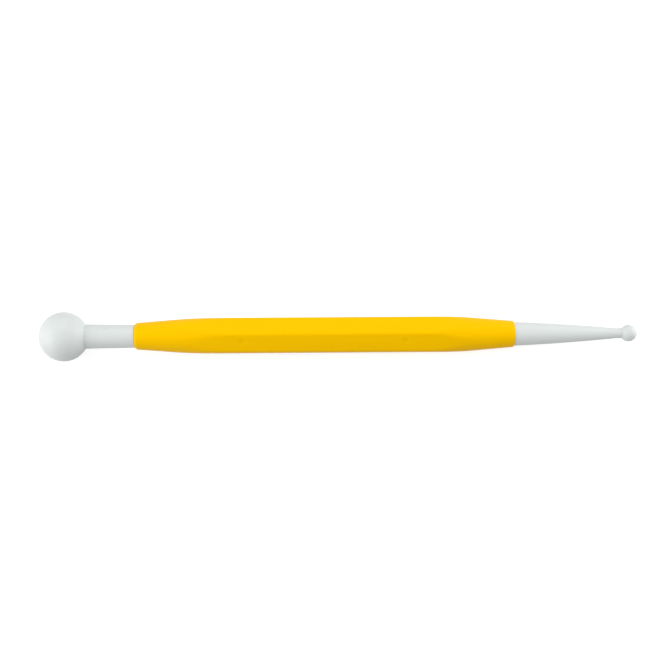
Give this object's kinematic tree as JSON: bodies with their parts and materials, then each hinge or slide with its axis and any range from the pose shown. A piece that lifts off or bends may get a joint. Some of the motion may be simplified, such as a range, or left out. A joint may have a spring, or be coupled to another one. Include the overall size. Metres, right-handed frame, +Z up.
{
  "type": "ball modelling tool",
  "caption": "Hand tool with a hexagonal handle, a large ball on a short neck at one end and a small ball on a long tapering neck at the other, for shaping soft paste.",
  "frame": {"origin": "on the table below the middle of the tool's length, as the tool rests on its large ball and on the far end of the handle's lowest flat", "axes": "+X along the tool towards its small ball, +Z up; the tool's own axis falls by 1.06 degrees towards +X, because the large ball is thicker than the handle"},
  "size_m": [0.1538, 0.0126, 0.0127],
  "materials": {
    "yellow_plastic": "satin moulded plastic, warm yellow right through",
    "white_plastic": "satin moulded plastic, smooth, slightly cool white"
  },
  "bodies": {
    "root": {"handle": "yellow_plastic", "large_ball_end": "white_plastic", "small_ball_end": "white_plastic"}
  },
  "joints": []
}
